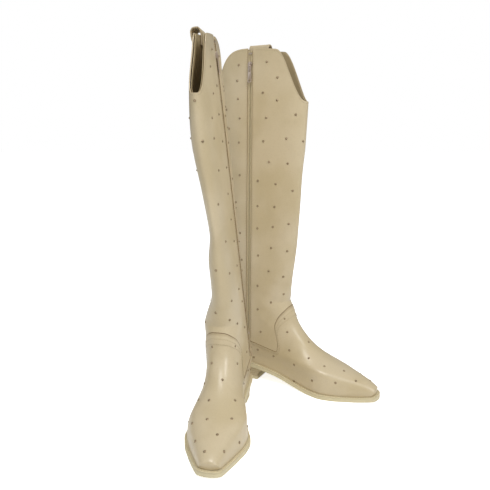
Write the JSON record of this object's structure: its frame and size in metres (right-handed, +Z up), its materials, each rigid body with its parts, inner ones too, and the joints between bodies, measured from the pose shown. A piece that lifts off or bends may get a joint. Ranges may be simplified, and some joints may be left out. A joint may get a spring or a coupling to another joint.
{
  "type": "tall western boots",
  "caption": "Pair of tall soft-leather boots with side zips, scalloped tops, pull straps, snip toes and low stacked heels.",
  "frame": {"origin": "on the ground under the middle of the pair's bounding box", "axes": "+Z up along the shafts, +Y away from the viewer, +X to the viewer's right"},
  "size_m": [0.3196, 0.3958, 0.5988],
  "materials": {
    "upper_leather": "smooth beige semi-gloss leather",
    "lining": "thin matt lining leather",
    "stiffener_board": "matt fibre board",
    "insole_board": "matt cork and fibre board",
    "sole_rubber": "pale cream rubber",
    "welt_leather": "pale cream welt strip",
    "stacked_heel": "stacked leather layers, sealed edge",
    "steel": "plain steel",
    "zip_tape": "woven tape with a nylon coil",
    "zip_metal": "polished nickel plate with a warm tint"
  },
  "bodies": {
    "right_boot": {"right_vamp": "upper_leather", "right_counter": "upper_leather", "right_shaft_front": "upper_leather", "right_shaft_back": "upper_leather", "right_pull_strap": "upper_leather", "right_vamp_lining": "lining", "right_counter_lining": "lining", "right_shaft_lining_front": "lining", "right_shaft_lining_back": "lining", "right_zip_guard": "lining", "right_footbed": "lining", "right_toe_puff": "stiffener_board", "right_heel_stiffener": "stiffener_board", "right_insole_board": "insole_board", "right_cork_filler": "insole_board", "right_outsole": "sole_rubber", "right_top_lift": "sole_rubber", "right_welt": "welt_leather", "right_heel_block": "stacked_heel", "right_shank": "steel", "right_heel_screw": "steel", "right_zip_tape_front": "zip_tape", "right_zip_tape_back": "zip_tape", "right_zip_top_stop_front": "zip_metal", "right_zip_top_stop_back": "zip_metal", "right_zip_bottom_stop": "zip_metal"},
    "right_slider": {"right_zip_slider": "zip_metal"},
    "right_puller": {"right_zip_puller": "zip_metal"},
    "left_boot": {"left_vamp": "upper_leather", "left_counter": "upper_leather", "left_shaft_front": "upper_leather", "left_shaft_back": "upper_leather", "left_pull_strap": "upper_leather", "left_vamp_lining": "lining", "left_counter_lining": "lining", "left_shaft_lining_front": "lining", "left_shaft_lining_back": "lining", "left_zip_guard": "lining", "left_footbed": "lining", "left_toe_puff": "stiffener_board", "left_heel_stiffener": "stiffener_board", "left_insole_board": "insole_board", "left_cork_filler": "insole_board", "left_outsole": "sole_rubber", "left_top_lift": "sole_rubber", "left_welt": "welt_leather", "left_heel_block": "stacked_heel", "left_shank": "steel", "left_heel_screw": "steel", "left_zip_tape_front": "zip_tape", "left_zip_tape_back": "zip_tape", "left_zip_top_stop_front": "zip_metal", "left_zip_top_stop_back": "zip_metal", "left_zip_bottom_stop": "zip_metal"},
    "left_slider": {"left_zip_slider": "zip_metal"},
    "left_puller": {"left_zip_puller": "zip_metal"}
  },
  "joints": [
    {"name": "right_zip", "type": "slide", "parent": "right_boot", "child": "right_slider", "axis": [-0.1079, -0.0155, 0.994], "range_m": [-0.46, 0.0115]},
    {"name": "right_puller_hinge", "type": "hinge", "parent": "right_slider", "child": "right_puller", "pos_m": [-0.1126, 0.02629, 0.56122], "axis": [-0.1445, -0.989, -0.0311], "range_deg": [0, 170]},
    {"name": "left_lift", "type": "slide", "parent": "right_boot", "child": "left_boot", "axis": [0, 0, 1], "range_m": [0, 0.6]},
    {"name": "left_zip", "type": "slide", "parent": "left_boot", "child": "left_slider", "axis": [0.0074, 0.0491, 0.9988], "range_m": [-0.46, 0.0115]},
    {"name": "left_puller_hinge", "type": "hinge", "parent": "left_slider", "child": "left_puller", "pos_m": [-0.06329, 0.13712, 0.5611], "axis": [-0.8912, 0.4533, -0.0157], "range_deg": [0, 170]}
  ]
}
